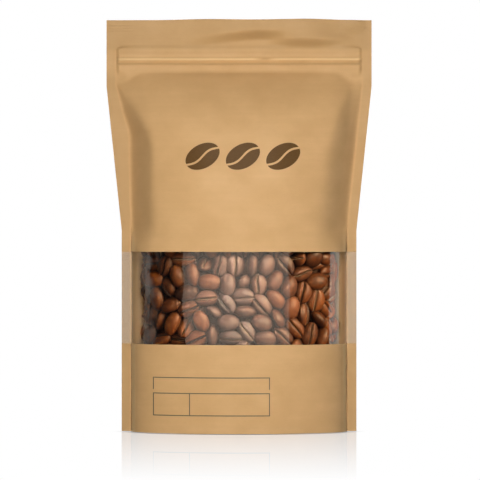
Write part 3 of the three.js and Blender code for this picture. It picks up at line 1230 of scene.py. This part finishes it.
@dataclass(frozen=True)
class BeanShape:
    """A coffee bean: a flat creased face up, a round back down, length along X."""

    rings: int = 14
    flat_points: int = 13
    back_points: int = 9
    crowding: float = 1.5
    face_height: float = 0.38
    face_power: int = 3
    back_height: float = 0.62
    girth_power: float = 0.46
    skew: float = 0.05
    bend: float = 0.055
    lean: float = 0.22
    dent: float = 0.16
    dent_waves: Place = (2.2, 3.0, 4.0)
    crease_width: float = 0.34
    crease_depth: float = 1.25
    crease_spread: float = 0.4
    crease_power: int = 8

    def skins(self, sizes: Array, draw: np.random.Generator) -> tuple[Array, Array]:
        """Points of beans that differ a little.

        Args:
            sizes: Length, width and thickness of each bean.
            draw: The seeded draws.

        Returns:
            Points of each bean, ring by ring with the two tips last, and how much
            each point is in the crease.
        """
        count = len(sizes)
        flat = np.linspace(1.0, -1.0, self.flat_points)
        flat = np.sign(flat) * np.abs(flat) ** self.crowding
        turn = np.linspace(math.pi, 2.0 * math.pi, self.back_points + 2)[1:-1]
        face = self.face_height * (1.0 - np.abs(flat) ** self.face_power)
        aside = np.concatenate([flat, np.cos(turn)])
        height = np.concatenate([face, self.back_height * np.sin(turn)])
        is_flat = np.concatenate([np.ones(self.flat_points), np.zeros(self.back_points)])
        along = -np.cos(np.linspace(0.0, math.pi, self.rings + 2)[1:-1])[None, :, None]
        girth = (1.0 - along**2) ** self.girth_power
        length, width, thickness = (sizes[:, axis, None, None] for axis in range(3))
        bend, groove, lean, skew, dent = draw.uniform(-1.0, 1.0, (5, count, 1, 1))
        x = along * length / 2.0 * np.ones_like(aside)
        y = aside * girth * width / 2.0 * (1.0 + self.skew * skew * along)
        y = y + self.bend * bend * width * np.sin(math.pi * along) * (1.0 - aside**2) * is_flat
        line = swell(aside * girth * width / 2.0, self.crease_width) * is_flat
        line = line * (1.0 - along**self.crease_power)
        z = height * girth * thickness
        z = z - line * (self.crease_depth + self.crease_spread * groove)
        z = z + self.lean * lean * aside * girth * is_flat
        lengthwise, crosswise, shift = self.dent_waves
        wave = np.sin(lengthwise * along + crosswise * aside + shift * skew)
        z = z + self.dent * dent * wave * girth
        tips = np.zeros((count, 2, 3))
        tips[:, 0, 0] = -sizes[:, 0] / 2.0
        tips[:, 1, 0] = sizes[:, 0] / 2.0
        skin = np.stack(np.broadcast_arrays(x, y, z), axis=-1).reshape(count, -1, 3)
        crease = np.broadcast_to(line, x.shape).reshape(count, -1)
        return np.concatenate([skin, tips], axis=1), np.pad(crease, ((0, 0), (0, 2)))

    def faces(self) -> list[list[int]]:
        """Faces of one bean.

        Returns:
            Vertex numbers: four to a face between rings, three at the tips.
        """
        around = self.flat_points + self.back_points
        ring = np.arange(self.rings * around).reshape(self.rings, around)
        nearer, further = ring[:-1], ring[1:]
        corners = [nearer, np.roll(nearer, -1, 1), np.roll(further, -1, 1), further]
        faces = np.stack(corners, axis=-1).reshape(-1, 4).tolist()
        start, end = self.rings * around, self.rings * around + 1
        first, last = ring[0], ring[-1]
        for here, then in zip(range(around), np.roll(range(around), -1)):
            faces.append([start, int(first[then]), int(first[here])])
            faces.append([end, int(last[here]), int(last[then])])
        return faces


@dataclass
class CoffeeBeans:
    """The beans behind the window, over a core painted dark as shade."""

    form: PouchForm
    roast: Material
    packing: BeanPacking = BeanPacking()
    shape: BeanShape = BeanShape()
    length: float = 12.6
    width: float = 9.4
    thickness: float = 6.3
    size_spread: float = 0.055
    size_range: Span = (0.86, 1.14)
    film_gap: float = 1.4
    edge_share: float = 0.16
    roll_spread: float = 0.3
    heap_half: float = 51.8
    heap_back: float = 20.0
    corner: float = 6.0
    outline_step: float = 0.25
    outline_points: tuple[int, int] = (801, 81)
    least_bend: float = 1e-3
    core_foot: float = 0.7
    core_top: float = 1.0
    core_grid: tuple[int, int] = (24, 49)
    core_inset: float = 9.5
    core_back: float = 0.8
    core_side: float = 15.5
    core_rim: float = 0.05
    tone: Span = (0.5, 0.28)
    chaff_power: float = 1.8
    # Painted shade in the creases of beans without pale chaff.
    groove: float = 0.7
    # Painted reflection: beans near the middle of the window are paler, as if veiled by the film's
    # reflection.
    veil_x: float = 0.0
    veil_reach: float = 23.0
    painted_veil: Span = (0.38, 0.68)
    seed: int = 23

    def outline(self) -> tuple[Array, Array]:
        """The heap's outline in plan: along the film, then back beside it at both ends.

        Returns:
            Distances along the outline from its middle, and a point for each.
        """
        front_points, side_points = self.outline_points
        half, deep = self.room(np.array(0.5 * self.form.full_z))
        turn = math.asin(self.heap_half / half) * np.linspace(-1.0, 1.0, front_points)
        front = np.stack([half * np.sin(turn), -deep * np.cos(turn)], axis=-1)
        back = front[-1] + np.linspace(0.0, 1.0, side_points)[1:, None] * (0.0, self.heap_back)
        points = np.concatenate([back[::-1] * (-1.0, 1.0), front, back])
        run = np.concatenate([[0.0], np.cumsum(np.linalg.norm(np.diff(points, axis=0), axis=1))])
        arc = np.arange(-run[-1] / 2.0, run[-1] / 2.0, self.outline_step)
        even = np.stack([np.interp(arc + run[-1] / 2.0, run, row) for row in points.T], axis=-1)
        reach = round(self.corner / self.outline_step)
        padded = np.pad(even, ((reach, reach), (0, 0)), mode="edge")
        share = np.full(2 * reach + 1, 1.0 / (2 * reach + 1))
        return arc, np.stack([np.convolve(row, share, "valid") for row in padded.T], axis=-1)

    def room(self, z: Array) -> tuple[Array, Array]:
        """Half width and half depth inside the film at a height."""
        return self.form.panel_half_width(z) - self.film_gap, self.form.bulge(z) - self.film_gap

    def wall(self, arc: Array, z: Array) -> tuple[Array, Array, Array, Array]:
        """The outside of the heap at distances along its outline.

        Args:
            arc: Distances along the outline from its middle.
            z: Heights.

        Returns:
            Points, unit tangents, unit outward normals and radii of curvature.
        """
        run, path = self.outline()
        way = unit(np.gradient(path, run, axis=0))
        bend = np.linalg.norm(np.gradient(way, run, axis=0), axis=1)
        x, y, east, north, curve = (np.interp(arc, run, row) for row in (*path.T, *way.T, bend))
        deeper = self.room(z)[1] / self.room(np.array(0.5 * self.form.full_z))[1]
        flat = np.zeros_like(z)
        point = np.stack([x, np.where(y < 0.0, y * deeper, y), z], axis=-1)
        tangent = np.stack([east, north, flat], axis=-1)
        outward = np.stack([north, -east, flat], axis=-1)
        return point, tangent, outward, 1.0 / np.maximum(curve, self.least_bend)

    def rolls(self, draw: np.random.Generator, count: int) -> Array:
        """Draws how each bean lies.

        Args:
            draw: The seeded draws.
            count: How many beans.

        Returns:
            Turns about the beans' own lengths.
        """
        share = (1.0 - self.edge_share) / 2.0
        picks = draw.choice(len(Lay), size=count, p=(share, share, self.edge_share))
        roll = np.array([lay.value for lay in Lay])[picks]
        return roll + draw.normal(0.0, self.roll_spread, count)

    def places(self, sizes: Array, draw: np.random.Generator) -> tuple[Array, Array]:
        """Places and turns of the beans behind the film.

        Args:
            sizes: Length, width and thickness of each bean.
            draw: The seeded draws.

        Returns:
            Middles, and turns as three unit axes to a bean.
        """
        middles, axes = self.packing.settle()
        stretch = self.packing.radius * 2.0 / self.thickness
        point, tangent, outward, radius = self.wall(middles[:, 0], middles[:, 1])
        up = np.array([0.0, 0.0, 1.0])
        lengthwise = axes[:, :1] * tangent + axes[:, 1:2] * up - axes[:, 2:] / stretch * outward
        lengthwise = unit(lengthwise)
        sideways = unit(np.cross(outward, lengthwise))
        face = np.cross(lengthwise, sideways)
        roll = self.rolls(draw, len(middles))[:, None]
        across = np.cos(roll) * sideways + np.sin(roll) * face
        face = np.cross(lengthwise, across)
        turns = np.stack([lengthwise, across, face], axis=1)
        reach = np.einsum("nij,nj->ni", turns, outward) * sizes / 2.0
        along = np.einsum("nij,nj->ni", turns, tangent) * sizes / 2.0
        needed = np.linalg.norm(reach, axis=1) + (along**2).sum(axis=1) / (2.0 * radius)
        depth = np.maximum(middles[:, 2] / stretch, needed)
        return point - outward * depth[:, None], turns

    def build_beans(self) -> Piece:
        """Makes all the beans as one mesh.

        Returns:
            The beans, marked with their tones, their painted veil and their creases.
        """
        draw = np.random.default_rng(self.seed)
        count = self.packing.count
        spread = np.clip(1.0 + draw.normal(0.0, self.size_spread, (count, 3)), *self.size_range)
        sizes = spread * (self.length, self.width, self.thickness)
        middles, turns = self.places(sizes, draw)
        points, crease = self.shape.skins(sizes, draw)
        points = np.einsum("nkj,nji->nki", points, turns) + middles[:, None]
        each = points.shape[1]
        one = self.shape.faces()
        faces = [[corner + each * bean for corner in face] for bean in range(count) for face in one]
        piece = add_mesh("roasted_beans", points.reshape(-1, 3), faces)
        tone = np.clip(draw.normal(*self.tone, count), 0.0, 1.0)
        chaff = draw.uniform(0.0, 1.0, count)[:, None] ** self.chaff_power
        # Painted reflection: a pale veil, strongest on beans near the middle.
        painted_veil = draw.uniform(*self.painted_veil, count) * swell(middles[:, 0] - self.veil_x, self.veil_reach)
        paint(piece, "tone", np.repeat(tone, each))
        paint(piece, "painted_veil", np.repeat(painted_veil, each))
        paint(piece, "crease", (crease * chaff).reshape(-1))
        # Painted shade in the creases of beans without pale chaff.
        paint(piece, "groove", (self.groove * crease * (1.0 - chaff)).reshape(-1))
        return piece

    def build_core(self) -> Piece:
        """Makes the core that the beans lie on, painted dark as shade.

        Returns:
            The core, marked as all groove, which paints it as shade.
        """
        form = self.form
        rows, columns = self.core_grid
        levels = np.linspace(form.gusset_rise * self.core_foot, form.fill_z - self.core_top, rows)
        across = np.sin(np.linspace(-0.5, 0.5, columns) * np.pi)
        z = np.broadcast_to(levels[:, None], (rows, columns))
        x = (form.panel_half_width(z) - self.core_side) * across[None, :]
        crown = np.sqrt(np.clip(1.0 - across**2, 0.0, 1.0))
        front = -(form.bulge(z) - self.core_inset) * crown - self.core_rim
        back = (form.bulge(z) - self.core_back) * crown + self.core_rim
        outer, inner = (np.stack([x, y, z], axis=-1) for y in (front, back))
        piece = add_sheets("bean_shade_core", [(outer, inner)])
        # Painted shade: the core takes the dark crevice colour all over.
        for name, value in (("tone", 0.0), ("painted_veil", 0.0), ("crease", 0.0), ("groove", 1.0)):
            paint(piece, name, np.full(len(piece.data.vertices), value))
        return piece

    def build(self) -> list[Piece]:
        """Makes the beans and their core.

        Returns:
            Both pieces.
        """
        pieces = [self.build_beans(), self.build_core()]
        for piece in pieces:
            piece.data.materials.append(self.roast)
            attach(piece, BODY)
            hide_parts("bean_heap")
        return pieces


@dataclass
class FrontPrint:
    """Ink on the front: a plain frame for notes and a row of bean shapes."""

    pouch: PaperPouch
    frame_ink: Material
    motif_ink: Material
    line: float = 0.47
    line_step: float = 1.5
    ink: float = 0.05
    left: float = -44.74
    right: float = 15.84
    divider: float = -25.76
    note_heights: Span = (23.0, 29.2)
    box_heights: Span = (9.45, 21.0)
    motif_middle: Span = (2.0, 144.5)
    motif_pitch: float = 21.0
    motif_size: Span = (19.0, 12.5)
    motif_tilt: float = math.radians(28.0)
    motif_gap: float = 0.55
    motif_sway: float = 0.09
    motif_ends: Span = (0.02, 0.98)
    motif_grid: tuple[int, int] = (13, 41)

    def laid(self, x: Array, z: Array) -> Sheet:
        """Lays a flat patch on the paper.

        Args:
            x: Places across the pouch.
            z: Heights.

        Returns:
            The outer and the inner grid of the ink.
        """
        face = np.stack([x, self.pouch.surface(x, z, Side.FRONT), z], axis=-1)
        out = grid_normals(face)
        out *= np.where(out[..., 1:2] > 0.0, -1.0, 1.0)
        return face + out * self.ink, face - out * self.ink

    def stroke(self, start: Span, end: Span) -> Sheet:
        """A printed line between two places.

        Args:
            start: X and Z of one end.
            end: X and Z of the other.

        Returns:
            The outer and the inner grid of the line.
        """
        way = np.subtract(end, start)
        length = math.hypot(*way)
        steps = np.linspace(0.0, 1.0, max(int(length / self.line_step), 2))
        off = np.array([-0.5, 0.5])[:, None] * self.line
        across = np.array([-way[1], way[0]]) / length
        x = start[0] + way[0] * steps[None, :] + across[0] * off
        z = start[1] + way[1] * steps[None, :] + across[1] * off
        return self.laid(x, z)

    def note_frame(self) -> list[Sheet]:
        """The printed frame: an open strip over a box of two fields.

        Returns:
            A sheet for each line.
        """
        low, high = self.note_heights
        base, top = self.box_heights
        half = self.line / 2.0
        runs = [((self.left - half, z), (self.right + half, z)) for z in (high, top, base)]
        runs += [((x, low), (x, high)) for x in (self.left, self.right)]
        runs += [((x, base), (x, top)) for x in (self.left, self.divider, self.right)]
        return [self.stroke(start, end) for start, end in runs]

    def half_bean(self, middle: float, half: float) -> Sheet:
        """One half of a printed bean, on one side of its crease.

        Args:
            middle: X of the bean's middle.
            half: 1 for the upper half and -1 for the lower.

        Returns:
            The outer and the inner grid of the shape.
        """
        length, width = self.motif_size
        rows, columns = self.motif_grid
        lengthwise = -np.cos(np.linspace(*self.motif_ends, columns) * math.pi)[None, :]
        outwards = np.linspace(0.0, 1.0, rows)[:, None]
        rim = half * width / 2.0 * np.sqrt(1.0 - lengthwise**2)
        crease = self.motif_sway * width * np.sin(math.pi * lengthwise) + half * self.motif_gap
        crease = half * np.minimum(half * crease, half * rim)
        along = lengthwise * length / 2.0 * np.ones_like(outwards)
        across = crease + (rim - crease) * outwards
        cosine, sine = math.cos(self.motif_tilt), math.sin(self.motif_tilt)
        x = middle + cosine * along - sine * across
        z = self.motif_middle[1] + sine * along + cosine * across
        return self.laid(x, z)

    def build(self) -> list[Piece]:
        """Makes the printed pieces.

        Returns:
            The frame and the bean shapes.
        """
        middles = [self.motif_middle[0] + self.motif_pitch * step for step in (-1, 0, 1)]
        halves = [self.half_bean(middle, half) for middle in middles for half in (-1.0, 1.0)]
        frame = add_sheets("printed_frame", self.note_frame())
        frame.data.materials.append(self.frame_ink)
        motif = add_sheets("printed_beans", halves)
        motif.data.materials.append(self.motif_ink)
        for piece in (frame, motif):
            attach(piece, BODY)
        return [frame, motif]


@dataclass(frozen=True)
class Softbox:
    """A soft light of even brightness that the camera doesn't see."""

    name: str
    middle: Place
    size: Span
    radiance: float
    colour: Colour = WHITE
    lighting: bool = True
    mirrored: bool = True
    reach: Reach = Reach.ALL
    beam: float = math.pi

    def build(self, target: Place, beans: list[Piece]) -> None:
        """Makes the light, turned to a point.

        Args:
            target: Where it faces.
            beans: What is lit apart from the rest.
        """
        lamp = bpy.data.lights.new(self.name, "AREA")
        lamp.shape = "RECTANGLE"
        lamp.size, lamp.size_y = self.size
        lamp.energy = self.radiance * LAMP_FACTOR * self.size[0] * self.size[1]
        lamp.color = self.colour
        lamp.spread = self.beam
        light = bpy.data.objects.new(self.name, lamp)
        bpy.context.scene.collection.objects.link(light)
        light.location = self.middle
        away = light.location.copy()
        away.x, away.y, away.z = (here - there for here, there in zip(self.middle, target))
        light.rotation_euler = away.to_track_quat("Z", "Y").to_euler()
        light.visible_camera = False
        light.visible_diffuse = self.lighting
        light.visible_glossy = self.mirrored
        if self.reach is not Reach.ALL:
            lit = bpy.data.collections.new(self.name)
            for piece in beans:
                lit.objects.link(piece)
            for entry in lit.collection_objects:
                entry.light_linking.link_state = self.reach.value
            light.light_linking.receiver_collection = lit


@dataclass
class Studio:
    """White floor and surroundings, soft lights and the camera. Metres."""

    eye: Place = (0.0005, -1.5, 0.1009)
    target: Place = (0.0, -0.02, 0.075)
    frame_width: float = 0.2536
    sensor: float = 36.0
    near_clip: float = 0.01
    floor_z: float = -0.0002
    floor_half: float = 6.0
    mirror: float = 0.45
    mirror_reach: Span = (0.02, 0.31)
    # Painted shadow: how far the floor darkens round the pouch.
    painted_shadow_reach: float = 0.008
    painted_shadow_samples: int = 12
    around: float = 0.062
    mirrored: float = 0.012
    tint: Colour = (0.82, 1.0, 1.2)
    behind: float = 1.0
    behind_from: Span = (0.6, 0.88)
    lights: tuple[Softbox, ...] = (
        Softbox("front_band", (-0.055, -1.7, 0.1), (1.87, 0.7), 0.74, (1.0, 0.83, 0.68)),
        Softbox("veil_band", (0.0, -1.68, 0.1), (1.76, 0.7), 0.2, (0.9, 0.86, 0.78), lighting=False),
        Softbox("near_high", (0.0, -0.42, 0.26), (0.10, 0.12), 13.0, reach=Reach.ALL_BUT_BEANS),
        Softbox(
            "near_mid", (0.0, -0.42, 0.07), (0.10, 0.12), 17.0,
            mirrored=False, reach=Reach.ALL_BUT_BEANS,
        ),
        Softbox(
            "bean_key", (0.85, -0.65, 0.55), (0.3, 0.3), 41.0, (1.0, 0.85, 0.66),
            reach=Reach.BEANS,
        ),
        Softbox(
            "bean_spot", (0.08, -0.7, 0.45), (0.03, 0.03), 2.8,
            beam=math.radians(6.5), reach=Reach.BEANS,
        ),
        Softbox("rear_fill", (0.0, 1.2, 0.6), (1.2, 1.0), 1.2),
        Softbox(
            "right_strip", (1.487, -0.196, 0.1), (0.70, 0.5), 1.25, (0.86, 1.0, 1.0),
            lighting=False,
        ),
        Softbox("left_strip", (-1.45, -0.36, 0.1), (0.34, 0.5), 0.3, (1.0, 0.93, 0.86), lighting=False),
    )

    def add_camera(self) -> None:
        """Sets the level camera in front of the pouch."""
        lens = bpy.data.cameras.new("camera")
        lens.sensor_width = self.sensor
        lens.lens = self.sensor * -self.eye[1] / self.frame_width
        lens.clip_start = self.near_clip
        camera = bpy.data.objects.new("camera", lens)
        bpy.context.scene.collection.objects.link(camera)
        camera.location = self.eye
        camera.rotation_euler = (math.pi / 2.0, 0.0, 0.0)
        bpy.context.scene.camera = camera

    def add_world(self) -> None:
        """White to the camera and in the floor, bright behind the pouch and dim round it."""
        world = bpy.data.worlds.new("studio")
        bpy.context.scene.world = world
        world.use_nodes = True
        tree = Shader(world.node_tree)
        way = tree.add("TexCoord").outputs["Generated"]
        back = tree.add("SeparateXYZ", {0: way}).outputs["Y"]
        path = tree.add("LightPath").outputs
        less = self.mirrored - self.around
        dim = tree.combine("MULTIPLY_ADD", path["Is Glossy Ray"], less, self.around)
        lit = tree.ramp(back, self.behind_from, (dim, self.behind))
        seen = tree.combine("MAXIMUM", path["Is Camera Ray"], path["Is Singular Ray"])
        strength = tree.combine("MAXIMUM", lit, seen)
        colour = tree.blend(strength, self.tint, WHITE)
        glow = tree.add("Background", {"Color": colour, "Strength": strength})
        tree.add("OutputWorld", {"Surface": glow.outputs[0]})

    def floor_finish(self) -> Material:
        """White floor that mirrors the pouch close to it, less with distance, with a painted contact
        shadow under and beside the pouch.

        Returns:
            The material.
        """
        material, tree = new_shader("white_floor")
        place = tree.add("TexCoord").outputs["Object"]
        away = tree.add("VectorMath", {0: place}, operation="LENGTH").outputs["Value"]
        share = tree.ramp(away, self.mirror_reach, (self.mirror, 0.0))
        # Painted shadow: the glowing floor is darker close to the pouch.
        reach = {"Distance": self.painted_shadow_reach}
        open_sky = tree.add("AmbientOcclusion", reach, samples=self.painted_shadow_samples)
        white = tree.add("Emission", {"Color": open_sky.outputs["Color"], "Strength": 1.0})
        gloss = tree.add("BsdfAnisotropic", {"Color": (*WHITE, 1.0), "Roughness": 0.0})
        tree.finish(tree.add("MixShader", {0: share, 1: white.outputs[0], 2: gloss.outputs[0]}))
        return material

    def add_floor(self) -> None:
        """Makes the floor."""
        sides = ((-1.0, -1.0), (1.0, -1.0), (1.0, 1.0), (-1.0, 1.0))
        corners = [(x * self.floor_half, y * self.floor_half, self.floor_z) for x, y in sides]
        floor = add_mesh("floor", np.array(corners) / MM, [[0, 1, 2, 3]])
        floor.data.materials.append(self.floor_finish())
        floor.visible_diffuse = False
        floor.visible_glossy = False
        floor.visible_shadow = False

    def build(self, beans: list[Piece]) -> None:
        """Sets the stage.

        Args:
            beans: What is lit apart from the rest.
        """
        self.add_camera()
        self.add_world()
        self.add_floor()
        for softbox in self.lights:
            softbox.build(self.target, beans)
        bpy.context.scene.view_settings.view_transform = "Standard"


def finish_zipper(zipper: Piece, plastic: Material) -> None:
    """Gives the zipper's solid its finish."""
    for place in zipper.material_slots:
        place.material = plastic


def main() -> None:
    """Builds the pouch and its studio."""
    logging.basicConfig(level=logging.INFO, format="%(name)s: %(message)s")
    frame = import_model()
    form = PouchForm()
    pouch = PaperPouch(form, KraftPaper().build())
    pieces = pouch.build()
    pieces.append(ClearWindow(pouch, ClearFilm().build()).build())
    beans = CoffeeBeans(form, RoastedBean().build()).build()
    pieces += beans
    frame_ink = PrintedInk("frame_ink", full=(0.10, 0.10, 0.065), wear_and_painted_light=(0.16, 0.14, 0.085))
    motif_ink = PrintedInk("motif_ink", full=(0.106, 0.046, 0.005), wear_and_painted_light=(0.130, 0.060, 0.010))
    pieces += FrontPrint(pouch, frame_ink.build(), motif_ink.build()).build()
    finish_zipper(frame["nodes"]["zipper"], ZipperPlastic().build())
    Studio().build(beans)
    for piece in pieces:
        LOG.info("%s: %d faces", piece.name, len(piece.data.polygons))


if __name__ == "__main__":
    main()
